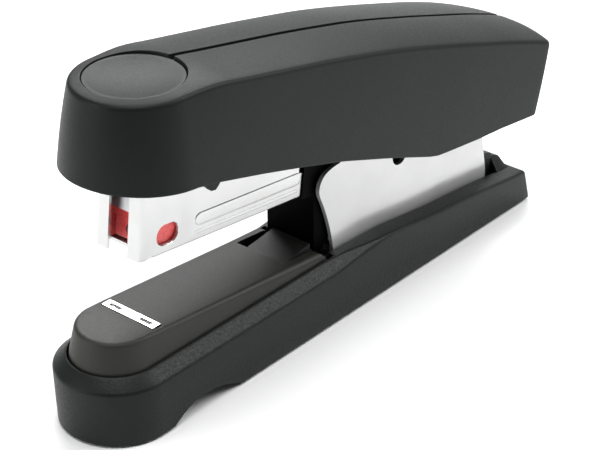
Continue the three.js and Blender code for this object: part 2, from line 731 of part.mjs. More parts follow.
// The blade hangs in front of the carrier's lip and leans back by half the stroke's angle.
function driverBlade() {
  const blade = new THREE.BoxGeometry(BLADE_THICKNESS, 2 * BLADE_HALF_WIDTH, BLADE_TOP - BLADE_TIP);
  blade.translate(0, 0, (BLADE_TOP - BLADE_TIP) / 2);
  blade.rotateY(BLADE_LEAN);
  blade.translate(BLADE_U, 0, BLADE_TIP);
  blade.rotateY(MAGAZINE_TILT);
  blade.translate(PIVOT_X, 0, PIVOT_Z);
  const hole = barAlongX(0, RIVET_Z, RIVET_RADIUS + GAP, -15, 15);
  return piece("driver_blade", cut(solid(blade), hole), steel());
}

function driverRivet() {
  const shank = barAlongX(0, RIVET_Z, RIVET_RADIUS, 1.6, 6.2);
  const heads = [barAlongX(0, RIVET_Z, 2.6, 1.2, 2.3), barAlongX(0, RIVET_Z, 2.6, 5.6, 6.6)];
  return piece("driver_rivet", join(shank, ...heads), steel());
}

// The leaf spring bends down from the carrier towards the rail and lifts the handle off it.
function returnLeaf() {
  const shape = outline([
    [44, 65.6],
    [60, 61.9],
    [72, 57.6],
    [86, 49.2],
    [86.4, 49.9],
    [72.3, 58.4],
    [60.2, 62.7],
    [44.2, 66.4],
  ]);
  return piece("return_leaf", across(shape, -4, 4), steel());
}

// ---- Assembly ----

const magazine = new THREE.Group();
magazine.add(magazineChannel(), magazineHub(), stapleRail(), guideRod(), pusherSpring(), pusher());
magazine.position.set(PIVOT_X, 0, PIVOT_Z);
magazine.rotation.y = MAGAZINE_TILT;

const base = new THREE.Group();
base.add(baseShell(), baseCover(), ...coverScrews(), ...footPads());
base.add(frameBracket(), bracketCover(), pivotPin(), ...retainingRings());
base.add(armPin(), armSpring(), liftSpring());

const clinchArm = new THREE.Group();
clinchArm.add(anvilHousing(), anvilPlate(), paperStop());

const handle = new THREE.Group();
handle.add(handleShell(), thumbPad(), handleCarrier(), driverBlade(), driverRivet(), returnLeaf());

const stapler = new THREE.Group();
stapler.add(base, clinchArm, magazine, handle);
stapler.position.x = -ORIGIN_X;

export default stapler;
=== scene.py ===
import math

import bmesh
import bpy
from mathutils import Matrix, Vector


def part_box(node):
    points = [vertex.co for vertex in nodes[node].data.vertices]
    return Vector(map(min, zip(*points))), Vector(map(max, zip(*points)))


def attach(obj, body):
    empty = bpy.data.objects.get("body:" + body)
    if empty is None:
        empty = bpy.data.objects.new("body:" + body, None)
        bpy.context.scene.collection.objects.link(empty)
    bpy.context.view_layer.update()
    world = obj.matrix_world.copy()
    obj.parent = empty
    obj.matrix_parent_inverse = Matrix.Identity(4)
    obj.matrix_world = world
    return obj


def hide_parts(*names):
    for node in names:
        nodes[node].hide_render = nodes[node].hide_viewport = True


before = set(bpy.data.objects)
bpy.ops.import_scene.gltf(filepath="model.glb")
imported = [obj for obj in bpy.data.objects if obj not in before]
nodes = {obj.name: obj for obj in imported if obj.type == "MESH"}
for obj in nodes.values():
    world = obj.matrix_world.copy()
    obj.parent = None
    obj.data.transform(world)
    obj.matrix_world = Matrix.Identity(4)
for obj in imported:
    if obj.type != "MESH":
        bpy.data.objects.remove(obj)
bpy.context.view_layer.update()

# ---------------------------------------------------------------- units and places
# Sizes are written in millimetres. x is measured from the staple line, which is the middle of
# the anvil plate, y from the middle plane and z from the table.

MM = 0.001
_low, _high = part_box("anvil_plate")
STAPLE_LINE = (_low.x + _high.x) / 2


def at(x, y, z):
    return Vector((STAPLE_LINE + x * MM, y * MM, z * MM))


def lerp(a, b, t):
    return a + (b - a) * t


def clamp(v, lo=0.0, hi=1.0):
    return max(lo, min(hi, v))


def ease(t):
    t = clamp(t)
    return t * t * (3 - 2 * t)


def curve(points, smooth=True):
    """A function through the stations (x, value): a smooth one, or straight between them."""
    xs = [p[0] for p in points]
    vs = [p[1] for p in points]
    slopes = []
    for i in range(len(xs)):
        a, b = max(i - 1, 0), min(i + 1, len(xs) - 1)
        slopes.append((vs[b] - vs[a]) / (xs[b] - xs[a]))

    def value(x):
        if x <= xs[0]:
            return vs[0]
        if x >= xs[-1]:
            return vs[-1]
        i = max(k for k in range(len(xs)) if xs[k] <= x)
        span = xs[i + 1] - xs[i]
        t = (x - xs[i]) / span
        if not smooth:
            return lerp(vs[i], vs[i + 1], t)
        h00 = 2 * t**3 - 3 * t**2 + 1
        h10 = t**3 - 2 * t**2 + t
        h01 = 3 * t**2 - 2 * t**3
        h11 = t**3 - t**2
        return h00 * vs[i] + h10 * span * slopes[i] + h01 * vs[i + 1] + h11 * span * slopes[i + 1]

    return value


# ---------------------------------------------------------------- camera, light and floor

CAMERA_AZIMUTH = math.radians(-49.7)
CAMERA_ELEVATION = math.radians(30.0)
CAMERA_PLACE = at(-281.2, -291.4, 282.9)
LENS = 120
SENSOR = 36
DARK_SIDE = (-0.76, -0.60, 0.25)  # the studio is dim on this side


def add(name, data):
    obj = bpy.data.objects.new(name, data)
    bpy.context.scene.collection.objects.link(obj)
    return obj


def make_camera():
    data = bpy.data.cameras.new("camera")
    data.lens = LENS
    data.sensor_width = SENSOR
    data.clip_start = 0.01
    data.clip_end = 50
    camera = add("camera", data)
    level = math.cos(CAMERA_ELEVATION)
    back = Vector((
        math.sin(CAMERA_AZIMUTH) * level,
        -math.cos(CAMERA_AZIMUTH) * level,
        math.sin(CAMERA_ELEVATION),
    ))
    camera.location = CAMERA_PLACE
    camera.rotation_mode = "QUATERNION"
    camera.rotation_quaternion = (-back).to_track_quat("-Z", "Y")
    bpy.context.scene.camera = camera


def make_area(name, place, aim, size, power):
    data = bpy.data.lights.new(name, "AREA")
    data.shape = "RECTANGLE"
    data.size, data.size_y = size
    data.energy = power
    light = add(name, data)
    light.location = Vector(place)
    light.rotation_mode = "QUATERNION"
    light.rotation_quaternion = (Vector(aim) - Vector(place)).to_track_quat("-Z", "Y")


def make_studio():
    scene = bpy.context.scene
    scene.view_settings.view_transform = "Standard"
    world = bpy.data.worlds.new("studio")
    scene.world = world
    world.use_nodes = True
    tree = world.node_tree
    background = tree.nodes["Background"]
    direction = tree.nodes.new("ShaderNodeTexCoord").outputs["Generated"]
    facing = tree.nodes.new("ShaderNodeVectorMath")
    facing.operation = "DOT_PRODUCT"
    facing.inputs[1].default_value = DARK_SIDE
    link(tree, direction, facing.inputs[0])
    link(tree, ramp(tree, facing.outputs["Value"], 0.2, 0.9, 1.0, 0.1), background.inputs["Strength"])
    background.inputs["Color"].default_value = (0.36, 0.365, 0.365, 1)
    make_area("behind", (0.62, 0.62, 0.78), (0, 0, 0.03), (0.8, 0.5), 12)
    make_area("overhead", (-0.22, -0.12, 1.25), (0, 0, 0), (0.9, 0.9), 12)
    make_area("right", (0.75, -0.62, 0.85), (0, 0, 0.03), (0.6, 0.6), 9)
    make_area("left", (-1.0, 0.5, 0.45), (0, 0, 0.05), (0.5, 0.6), 4)

    data = bpy.data.meshes.new("floor")
    half = 6.0
    corners = [(-half, -half, 0), (half, -half, 0), (half, half, 0), (-half, half, 0)]
    data.from_pydata(corners, [], [(0, 1, 2, 3)])
    floor = add("floor", data)
    paint = bpy.data.materials.new("floor_paper")
    paint.use_nodes = True
    shader = paint.node_tree.nodes["Principled BSDF"]
    shader.inputs["Base Color"].default_value = (0.93, 0.93, 0.93, 1)
    shader.inputs["Roughness"].default_value = 0.8
    data.materials.append(paint)


# ---------------------------------------------------------------- materials


def link(tree, a, b):
    tree.links.new(a, b)


def ramp(tree, source, low, high, out_low, out_high):
    node = tree.nodes.new("ShaderNodeMapRange")
    node.inputs["From Min"].default_value = low
    node.inputs["From Max"].default_value = high
    node.inputs["To Min"].default_value = out_low
    node.inputs["To Max"].default_value = out_high
    link(tree, source, node.inputs["Value"])
    return node.outputs["Result"]


def noise(tree, vector, scale, detail=2.0):
    node = tree.nodes.new("ShaderNodeTexNoise")
    node.inputs["Scale"].default_value = scale
    node.inputs["Detail"].default_value = detail
    link(tree, vector, node.inputs["Vector"])
    return node.outputs["Fac"]


def stretched(tree, vector, scale):
    node = tree.nodes.new("ShaderNodeMapping")
    node.inputs["Scale"].default_value = scale
    link(tree, vector, node.inputs["Vector"])
    return node.outputs["Vector"]


def blend_colour(tree, factor, first, second):
    node = tree.nodes.new("ShaderNodeMix")
    node.data_type = "RGBA"
    link(tree, factor, node.inputs["Factor"])
    for key, value in (("A", first), ("B", second)):
        sockets = [s for s in node.inputs if s.name == key and s.type == "RGBA"]
        if isinstance(value, tuple):
            sockets[0].default_value = (*value, 1)
        else:
            link(tree, value, sockets[0])
    return [s for s in node.outputs if s.type == "RGBA"][0]


def edge_mask(tree, radius):
    """0 on a flat face and up to 1 on an edge, where a finish is rubbed."""
    bevel = tree.nodes.new("ShaderNodeBevel")
    bevel.samples = 4
    bevel.inputs["Radius"].default_value = radius
    geometry = tree.nodes.new("ShaderNodeNewGeometry")
    dot = tree.nodes.new("ShaderNodeVectorMath")
    dot.operation = "DOT_PRODUCT"
    link(tree, bevel.outputs["Normal"], dot.inputs[0])
    link(tree, geometry.outputs["Normal"], dot.inputs[1])
    return ramp(tree, dot.outputs["Value"], 0.99, 0.8, 0.0, 1.0)


def bump(tree, height, strength, distance):
    node = tree.nodes.new("ShaderNodeBump")
    node.inputs["Strength"].default_value = strength
    node.inputs["Distance"].default_value = distance
    link(tree, height, node.inputs["Height"])
    return node.outputs["Normal"]


def start(name):
    material = bpy.data.materials.new(name)
    material.use_nodes = True
    tree = material.node_tree
    place = tree.nodes.new("ShaderNodeTexCoord").outputs["Object"]
    return material, tree, tree.nodes["Principled BSDF"], place


def plastic(name, colour, rubbed, roughness, grain_scale, grain, specular, wear=0.5):
    """Moulded plastic: a fine spark-eroded grain, slow tone changes, and edges rubbed a little shiny."""
    material, tree, shader, place = start(name)
    slow = noise(tree, place, 38, 3)
    fine = noise(tree, place, grain_scale, 1)
    tone = blend_colour(
        tree,
        ramp(tree, slow, 0.3, 0.7, 0.0, 1.0),
        tuple(c * 0.9 for c in colour),
        tuple(c * 1.12 for c in colour),
    )
    edge = edge_mask(tree, 0.0007)
    worn = ramp(tree, edge, 0.0, 1.0, 0.0, wear)
    link(tree, blend_colour(tree, worn, tone, rubbed), shader.inputs["Base Color"])
    rough = ramp(tree, fine, 0.3, 0.7, roughness - 0.06, roughness + 0.06)
    link(tree, rough, shader.inputs["Roughness"])
    link(tree, bump(tree, fine, grain, 0.00006), shader.inputs["Normal"])
    shader.inputs["Specular IOR Level"].default_value = specular
    return material


def metal(name, colour, roughness, brush, strength, stain=0.06, metallic=1.0):
    """Plated or bare sheet: fine drawn lines, a faint cloudiness, and a brighter rubbed edge."""
    material, tree, shader, place = start(name)
    lines = noise(tree, stretched(tree, place, brush), 1.0, 2)
    cloud = noise(tree, place, 120, 3)
    tone = blend_colour(
        tree,
        ramp(tree, cloud, 0.3, 0.7, 0.0, 1.0),
        tuple(c * (1 - stain) for c in colour),
        colour,
    )
    worn = ramp(tree, edge_mask(tree, 0.0003), 0.0, 1.0, 0.0, 0.5)
    bright = tuple(min(c * 1.06, 1.0) for c in colour)
    link(tree, blend_colour(tree, worn, tone, bright), shader.inputs["Base Color"])
    link(tree, ramp(tree, lines, 0.3, 0.7, roughness * 0.8, roughness * 1.3), shader.inputs["Roughness"])
    link(tree, bump(tree, lines, strength, 0.00002), shader.inputs["Normal"])
    shader.inputs["Metallic"].default_value = metallic
    return material


ALONG_X = (60, 2500, 2500)
TURNED = (900, 900, 900)

BLACK = (0.0065, 0.0085, 0.0082)
BLACK_RUBBED = (0.04, 0.042, 0.042)

MATERIALS = {
    "black_plastic": plastic("black_plastic", BLACK, BLACK_RUBBED, 0.46, 2600, 0.35, 0.17),
    "base_plastic": plastic("base_plastic", (0.005, 0.0062, 0.0062), BLACK_RUBBED, 0.46, 1700, 0.9, 0.22),
    "grey_plastic": plastic("grey_plastic", (0.02, 0.0202, 0.0175), (0.1, 0.1, 0.092), 0.5, 2600, 0.3, 0.32),
    # Painted shade: the hub is given a black far darker than the other black plastics, with hardly any
    # specular, standing in for the deep shadow it sits in under the magazine.
    "hub_black_painted_shade": plastic(
        "hub_black_painted_shade", (0.0006, 0.0006, 0.0008), (0.004, 0.004, 0.005), 0.45, 1800, 0.12, 0.02, 0.3,
    ),
    "stop_black": plastic(
        "stop_black", (0.009, 0.009, 0.0085), (0.03, 0.03, 0.028), 0.5, 2200, 0.25, 0.24,
    ),
    "red_plastic": plastic(
        "red_plastic", (0.85, 0.085, 0.085), (0.9, 0.25, 0.24), 0.3, 1500, 0.15, 0.5, 0.3,
    ),
    "rubber": plastic("rubber", (0.012, 0.012, 0.013), (0.03, 0.03, 0.03), 0.85, 1800, 0.6, 0.25, 0.3),
    "nickel": metal("nickel", (0.66, 0.665, 0.66), 0.2, ALONG_X, 0.12, 0.06, 0.75),
    "frame_nickel": metal("frame_nickel", (0.66, 0.665, 0.66), 0.2, ALONG_X, 0.12, 0.06, 0.5),
    "bright_plate": metal("bright_plate", (0.7, 0.7, 0.7), 0.12, ALONG_X, 0.08),
    "steel": metal("steel", (0.56, 0.57, 0.58), 0.34, ALONG_X, 0.25, 0.15),
    "dark_steel": metal("dark_steel", (0.16, 0.15, 0.15), 0.4, TURNED, 0.15, 0.15),
    "turned_steel": metal("turned_steel", (0.6, 0.61, 0.62), 0.28, TURNED, 0.15, 0.12),
}

# ---------------------------------------------------------------- mesh tools


def shade(data, degrees=32):
    for polygon in data.polygons:
        polygon.use_smooth = True
    data.set_sharp_from_angle(angle=math.radians(degrees))


def tidy(data, distance=0.00001):
    work = bmesh.new()
    work.from_mesh(data)
    bmesh.ops.remove_doubles(work, verts=work.verts, dist=distance)
    bmesh.ops.dissolve_degenerate(work, edges=work.edges, dist=distance)
    bmesh.ops.recalc_face_normals(work, faces=work.faces)
    work.to_mesh(data)
    work.free()


def mesh_of(name, rows, close_columns=False):
    """A closed mesh through a grid of points; the open ends of the grid are filled."""
    data = bpy.data.meshes.new(name)
    width = len(rows[0])
    points = [p for row in rows for p in row]
    faces = []
    for i in range(len(rows) - 1):
        for j in range(width if close_columns else width - 1):
            k = (j + 1) % width
            faces.append((i * width + j, i * width + k, (i + 1) * width + k, (i + 1) * width + j))
    data.from_pydata([tuple(p) for p in points], [], faces)
    work = bmesh.new()
    work.from_mesh(data)
    bmesh.ops.remove_doubles(work, verts=work.verts, dist=0.000004)
    bmesh.ops.dissolve_degenerate(work, edges=work.edges, dist=0.000002)
    open_edges = [e for e in work.edges if e.is_boundary]
    if open_edges:
        bmesh.ops.edgeloop_fill(work, edges=open_edges)
    bmesh.ops.recalc_face_normals(work, faces=work.faces)
    work.to_mesh(data)
    work.free()
    return data


def carve(data, cutters, operation="DIFFERENCE"):
    """The mesh with the cutter meshes taken away from it, or added to it."""
    body = add("work_body", data)
    tools = []
    for cutter in cutters:
        tool = add("work_cutter", cutter)
        modifier = body.modifiers.new("cut", "BOOLEAN")
        modifier.operation = operation
        modifier.solver = "EXACT"
        modifier.object = tool
        tools.append(tool)
    bpy.context.view_layer.update()
    evaluated = body.evaluated_get(bpy.context.evaluated_depsgraph_get())
    result = bpy.data.meshes.new_from_object(evaluated)
    for obj in (body, *tools):
        bpy.data.objects.remove(obj)
    tidy(result)
    return result


def soften(obj, width, segments=2, degrees=38):
    """Rounds the edges: a moulded or stamped piece has no razor edge."""
    modifier = obj.modifiers.new("edges", "BEVEL")
    modifier.width = width * MM
    modifier.segments = segments
    modifier.limit_method = "ANGLE"
    modifier.angle_limit = math.radians(degrees)
    modifier.use_clamp_overlap = True
    modifier.harden_normals = False
    return obj


def piece(name, data, body, node, finish, width=0.0, degrees=32):
    shade(data, degrees)
    data.materials.clear()
    data.materials.append(MATERIALS[finish])
    obj = add(name, data)
    if width:
        soften(obj, width)
    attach(obj, body)
    for each in node if isinstance(node, (list, tuple)) else [node]:
        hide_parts(each)
    return obj


def slab(name, outline, y0, y1):
    """A side profile (x, z) carried across from y0 to y1."""
    rows = [[at(x, y, z) for x, z in outline] for y in (y0, y1)]
    return mesh_of(name, rows, close_columns=True)


def plate(name, outline, z0, z1):
    """A plan outline (x, y) raised from z0 to z1."""
    rows = [[at(x, y, z) for x, y in outline] for z in (z0, z1)]
    return mesh_of(name, rows, close_columns=True)


def rectangle(x0, x1, half):
    return [(x0, -half), (x1, -half), (x1, half), (x0, half)]


def arc(cx, cy, radius, start_angle, end_angle, steps):
    points = []
    for i in range(steps + 1):
        a = math.radians(lerp(start_angle, end_angle, i / steps))
        points.append((cx + radius * math.cos(a), cy + radius * math.sin(a)))
    return points


def nosed_plan(nose_x, radius, rear, steps=40):
    return [(rear, radius), *arc(nose_x, 0, radius, 90, 270, steps), (rear, -radius)]


def spun(name, x, y, profile, steps=72):
    """A turned piece on a vertical axis; the profile is (radius, z) from axis to axis."""
    rows = []
    for i in range(steps + 1):
        a = 2 * math.pi * i / steps
        rows.append([at(x + r * math.cos(a), y + r * math.sin(a), z) for r, z in profile])
    return mesh_of(name, rows)


def corner(a, b, c, reach, steps=5):
    """Points that round the corner b between a and c."""
    def towards(p, q):
        d = math.dist(p, q)
        t = min(reach / d, 0.49)
        return (lerp(p[0], q[0], t), lerp(p[1], q[1], t))

    p, q = towards(b, a), towards(b, c)
    points = []
    for i in range(steps + 1):
        t = i / steps
        points.append(tuple(
            (1 - t) ** 2 * p[k] + 2 * t * (1 - t) * b[k] + t * t * q[k] for k in (0, 1)
        ))
    return points


def long_body(name, nose_x, section, xs, shift=None, nose_steps=30, rear_round=0.0):
    """A long body with a round nose. section(x, angle) gives the half profile (d, z) from the
    middle plane round to the middle plane; it is carried back along xs and turned at the nose."""
    def place(x, y, z):
        dx, dz = shift(x, y, z) if shift else (0.0, 0.0)
        return at(x + dx, y, z + dz)

    rear = xs[-1]
    stations = [(x, 0.0) for x in xs]
    if rear_round:
        stations = [(x, 0.0) for x in xs if x < rear - rear_round]
        for i in range(6):
            a = math.radians(18 * i)
            stations.append((rear - rear_round * (1 - math.sin(a)), rear_round * (1 - math.cos(a))))

    def side(sign):
        rows = []
        for x, inset in stations:
            half = section(x, 0.0)
            widest = max(d for d, _ in half)
            top = max(z for _, z in half)
            bottom = min(z for _, z in half)
            middle = (top + bottom) / 2
            narrow = 1 - inset / widest
            lower = 1 - 2 * inset / (top - bottom)
            rows.append([
                place(x, sign * d * narrow, middle + (z - middle) * lower) for d, z in half
            ])
        return rows

    rows = list(reversed(side(1)))
    for i in range(1, nose_steps):
        a = math.pi * (0.5 + i / nose_steps)
        half = section(nose_x, abs(math.cos(a)))
        rows.append([place(nose_x + d * math.cos(a), d * math.sin(a), z) for d, z in half])
    rows += side(-1)
    return mesh_of(name, rows)


# ---------------------------------------------------------------- handle

HANDLE_NOSE = 4.5
HANDLE_REAR = 149.8
handle_crest = curve([
    (4.5, 88.55), (15, 88.0), (26.4, 85.75), (39.7, 83.1), (53.6, 80.3), (68.1, 77.1),
    (83.2, 73.5), (102.9, 67.9), (119.9, 62.7), (131.8, 59.0), (144.1, 54.8), (150, 52.6),
])
handle_ridge = curve([
    (4.5, 15.5), (20, 16.2), (40, 16.8), (60, 17.4), (80, 18.3), (100, 19.4), (120, 20.3), (150, 21.1),
])
handle_lower = curve([(4.5, 18.5), (40, 19.5), (80, 20.4), (120, 21.3), (150, 21.8)])
handle_foot = curve([
    (-15, 66.4), (5, 64.6), (10.4, 63.6), (26.5, 59.5), (41, 55.5), (55.6, 51.2), (74.1, 44.7),
    (92.5, 37.8), (96, 37.3), (111.5, 35.6), (121.8, 34.9), (135.6, 33.4), (150, 32.4),
], smooth=False)
CROWN = 2.1
HANDLE_WALL = 2.2
NOSE_DEPTH = 0.965
REAR_BOW = 4.9
REAR_RAKE = 0.33
RAKE_TOP = 52.6
DISH_X = 4.6
PAD_RADIUS = 11.95
PAD_BOTTOM = 85.4
PAD_TOP = 87.0
PAD_HOLLOW = 1.15
GROOVE_HALF = 0.8
GROOVE_DEPTH = 1.5
TAB_INNER = 8.5
TAB_OUTER = 9.7


def handle_shift(x, y, z):
    """The rear face is raked, and bows out in the middle; the top and the lower edge keep their line."""
    rear = ease((x - 108) / 42)
    dx = -(REAR_RAKE * max(RAKE_TOP - z, 0.0) + REAR_BOW * (y / 21.0) ** 2) * rear
    crest, foot = handle_crest(x), handle_foot(x)
    up = clamp((z - foot) / (crest - foot))
    dz = lerp(handle_foot(x + dx) - foot, handle_crest(x + dx) - crest, up)
    return dx, dz


def handle_section(inset):
    def section(x, turn):
        ridge = handle_ridge(x) - inset
        lower = handle_lower(x) - inset
        if turn:
            ridge *= lerp(1, NOSE_DEPTH, turn)
        crest = handle_crest(x) - inset
        foot = handle_foot(x - lower * turn) if turn else handle_foot(x)
        foot -= 12 if inset else 0
        edge = crest - CROWN
        top = [(ridge * k / 9, crest - CROWN * (k / 9) ** 2) for k in range(9)]
        roll = corner(top[-1], (ridge, edge), (lower, foot), 1.15 if not inset else 1.0, 6)
        flank = []
        for k in range(1, 8):
            t = k / 8
            bulge = 0.28 * math.sin(math.pi * t)
            flank.append((lerp(roll[-1][0], lower, t) + bulge, lerp(roll[-1][1], foot, t)))
        return [*top, *roll, *flank, (lower, foot), (lower * 0.5, foot), (0, foot)]

    return section


def make_handle():
    xs = [HANDLE_NOSE + (HANDLE_REAR - HANDLE_NOSE) * i / 44 for i in range(45)]
    kinks = [5, 28, 57, 77, 95.5, 115]
    xs = sorted(set(round(x, 3) for x in [*xs, *kinks]))
    outer = long_body("handle_outer", HANDLE_NOSE, handle_section(0), xs, handle_shift, 48, 1.4)
    inner_xs = [x for x in xs if x < HANDLE_REAR - HANDLE_WALL] + [HANDLE_REAR - HANDLE_WALL]
    inner = long_body("handle_inner", HANDLE_NOSE, handle_section(HANDLE_WALL), inner_xs, handle_shift, 48)
    bowl = spun("bowl", DISH_X, 0, [
        (0, 85.6), (12.15, 85.6), (12.15, 87.2), (12.3, 87.5), (12.55, 87.75),
        (12.9, 88.3), (13.6, 90), (0, 90),
    ], 96)
    groove_floor = []
    groove_top = []
    steps = 40
    for i in range(steps + 1):
        x = lerp(14.2, HANDLE_REAR + 1.5, i / steps)
        groove_floor.append((x, handle_crest(x) - GROOVE_DEPTH))
        groove_top.append((x, 92))
    groove = slab("slot", groove_floor + groove_top[::-1], -GROOVE_HALF, GROOVE_HALF)
    flares = []
    for i in range(9):
        x = lerp(14.6, 18.6, i / 8)
        flares.append((x, 0.75 + 1.6 * (1 - i / 8) ** 2.4))
    cusp = plate("cusp", flares + [(x, -y) for x, y in reversed(flares)], 86.9, 92)
    shell = carve(outer, [inner, bowl, groove, cusp])
    # A guide tab hangs from the roof on each side of the magazine; only its tip shows under the edge.
    tab = [
        (16.2, 85), (16.2, 58.3), (17.4, 56.2), (18.8, 54.8),
        (20.4, 54.5), (21.8, 55.6), (22.6, 58), (22.6, 85),
    ]
    tabs = [slab("tab", tab, TAB_INNER, TAB_OUTER), slab("tab", tab, -TAB_OUTER, -TAB_INNER)]
    shell = carve(shell, tabs, "UNION")
    piece("handle_shell_skin", shell, "handle", "handle_shell", "black_plastic", 0.22, 28)

    hollow = PAD_RADIUS - 0.35
    profile = [
        (0, PAD_BOTTOM), (PAD_RADIUS - 0.3, PAD_BOTTOM), (PAD_RADIUS, 85.7), (PAD_RADIUS, 86.75),
        (PAD_RADIUS - 0.12, 86.95), (hollow, PAD_TOP),
    ]
    for k in range(1, 15):
        r = hollow * (1 - k / 14)
        profile.append((r, PAD_TOP - PAD_HOLLOW * (1 - (r / hollow) ** 2)))
    pad = spun("pad", DISH_X, 0, profile, 96)
    piece("thumb_pad_dished", pad, "handle", "thumb_pad", "black_plastic", 0, 40)


# ---------------------------------------------------------------- base

BASE_NOSE = -5.5
BASE_HALF = 15.4
BASE_REAR = 147.7
RECESS_HALF = 11.9
WELL_HALF = 9.9
WELL_REAR = 137
WELL_FLOOR = 2.7
BOSS_REAR = 142.8
base_deck = curve([
    (-30, 18.4), (66, 18.3), (82.4, 17.5), (103, 14.75), (121.5, 13.1), (143.6, 10.8), (147, 10.6),
], smooth=False)


def base_shift(x, y, z):
    """The rear face of the base leans forward at its top."""
    return -REAR_RAKE * max(z - 0.4, 0.0) * ease((x - 120) / 27), 0.0


def base_section(x, turn):
    deck = base_deck(x)
    shrink = 1 - ease((x - 56) / 27)
    down = lerp(0.5, 2.9, shrink)
    into = lerp(0.5, 3.3, shrink)
    half = BASE_HALF
    foot = half - lerp(0.3, 0.55, turn)
    inner = (half - into, deck)
    outer = (half, deck - down)
    bottom = (foot, 0.4)
    top = [(0, deck), (inner[0] * 0.5, deck)]
    return [
        *top,
        *corner(top[-1], inner, outer, 0.55, 4),
        *corner(inner, outer, bottom, 0.7, 4),
        (lerp(half, foot, 0.35), lerp(deck - down, 0.4, 0.35)),
        (lerp(half, foot, 0.7), lerp(deck - down, 0.4, 0.7)),
        *corner(outer, bottom, (0, 0.4), 0.6, 3),
        (foot * 0.5, 0.4),
        (0, 0.4),
    ]


def make_base():
    xs = [
        BASE_NOSE, 0, 10, 20, 30, 40, 50, 56, 59, 62, 65, 68, 71, 74, 77, 80, 82.4,
        88, 95, 103, 112, 121.5, 130, 138, 143.6, BASE_REAR,
    ]
    outer = long_body("base_outer", BASE_NOSE, base_section, xs, base_shift, 56, 1.3)
    arch = [
        (-2.2, -3), (-2.2, 0.2), (-0.6, 1.5), (1.5, 2.8), (3.4, 3.7), (5.6, 4.3), (9, 4.6),
        (12.5, 4.45), (16.2, 3.6), (19.4, 2.3), (22, 1.1), (24.6, 0.0), (24.6, -3),
    ]
    cuts = [
        plate("recess", nosed_plan(BASE_NOSE, RECESS_HALF, 62, 56), 6.6, 30),
        plate("well", rectangle(56, WELL_REAR, WELL_HALF), WELL_FLOOR, 30),
        slab("arch", arch, -20, 20),
        plate("under", rectangle(41.7, 128.3, 12.7), -1, WELL_FLOOR),
    ]
    for x, y, r in ((-8, 0, 7), (33, -10.3, 3.6), (33, 10.3, 3.6), (137, -10.3, 3.6), (137, 10.3, 3.6)):
        cuts.append(spun("pocket", x, y, [(0, -1), (r + 0.3, -1), (r + 0.3, 2.0), (0, 2.0)], 40))
    crown = [
        (136.8, 15.6), (138.4, 15.2), (139.8, 14.8), (141.0, 14.1),
        (141.9, 13.1), (142.5, 11.8), (BOSS_REAR, 9.8),
    ]
    rows = []
    for y in (-10.4, -7.6, 7.6, 10.4):
        over = [(x, z if abs(y) < 9 else min(z, base_deck(x) - 0.3)) for x, z in crown]
        rows.append([at(x, y, z) for x, z in [(136.8, 5), *over, (BOSS_REAR, 5)]])
    boss = mesh_of("boss", rows, close_columns=True)
    body = carve(outer, [boss], "UNION")
    body = carve(body, cuts)
    piece("base_shell_skin", body, "base", "base_shell", "base_plastic", 0.25, 28)


# ---------------------------------------------------------------- clinch arm

ARM_NOSE = -5.4
ARM_BOTTOM = 8.6
ARM_HOLLOW_HALF = 8.3
STOP_FRONT = 46.9
STOP_FAR = 5
ARM_FOOT = 11.45
arm_half = curve([(-5.4, 10.1), (0, 10.3), (45, 10.9), (60, 11.1)])


def arm_top(x):
    return 25.5 - 0.09 * x


def arm_section(x, turn):
    top = arm_top(x)
    half = arm_half(x) - 0.6 * turn
    waist = (ARM_FOOT, lerp(17.0, 18.6, turn))
    edge = (half, top)
    bottom = (ARM_FOOT, ARM_BOTTOM)
    roll = lerp(1.1, 2.0, clamp(x / 45))
    return [
        (0, top),
        (half * 0.5, top),
        *corner((0, top), edge, waist, roll, 6),
        (lerp(half, ARM_FOOT, 0.5), lerp(top, waist[1], 0.5)),
        *corner(edge, waist, bottom, 1.5, 4),
        (ARM_FOOT, 12.0),
        bottom,
        (ARM_FOOT * 0.5, ARM_BOTTOM),
        (0, ARM_BOTTOM),
    ]


def make_arm():
    xs = [ARM_NOSE, -2, 0, 5, 10, 20, 30, 40, 46, 52, 57, 60.4]
    outer = long_body("arm_outer", ARM_NOSE, arm_section, xs, None, 48)
    trim = slab("trim", [
        (57, 30), (57, 20.3), (58.2, 19.9), (59.2, 18.8), (60.2, 15),
        (60.4, 12), (60.6, 12), (64, 12), (64, 30),
    ], -20, 20)
    half = ARM_HOLLOW_HALF
    hollow = slab("hollow", [
        (-13, 5), (66, 5), (66, 30), (57.6, 30), (57.6, arm_top(57) - 2.4), (-13, arm_top(-13) - 3.6),
    ], -half, half)
    nose = plate("nose", nosed_plan(-5, half, 66, 40), 0, 40)
    hollow = carve(hollow, [nose], "INTERSECT")
    seat = plate("seat", rectangle(-1.6, 1.6, 8.7), 24.35, 30)
    stop_plan = [(STOP_FRONT, -7.9), (66, -7.9), (66, STOP_FAR + 0.3), (STOP_FRONT, STOP_FAR + 0.3)]
    stop_seat = plate("stop_seat", stop_plan, arm_top(STOP_FRONT) - 1.5, 30)
    slot_plan = [(STOP_FRONT, STOP_FAR), (66, STOP_FAR), (66, half), (STOP_FRONT, half)]
    slot = plate("slot", slot_plan, 12, 30)
    body = carve(outer, [trim, hollow, seat, stop_seat, slot])
    piece("anvil_housing_skin", body, "clinch_arm", "anvil_housing", "grey_plastic", 0.15, 28)


# ---------------------------------------------------------------- magazine

MAGAZINE_TILT = math.radians(6.7)
PIVOT_X = 120.0
PIVOT_Z = 38.0
MAGAZINE_FRONT = -123.4
MAGAZINE_REAR = -66.0
MAGAZINE_BOTTOM = -8.2
MAGAZINE_HALF = 7.5
SHEET = 0.8
SLOT_HALF = 3.2


def mag(u, v, w):
    """A place in the magazine's own tilted frame: u along it from the pivot, w up."""
    c, s = math.cos(MAGAZINE_TILT), math.sin(MAGAZINE_TILT)
    return at(PIVOT_X + u * c + w * s, v, PIVOT_Z - u * s + w * c)


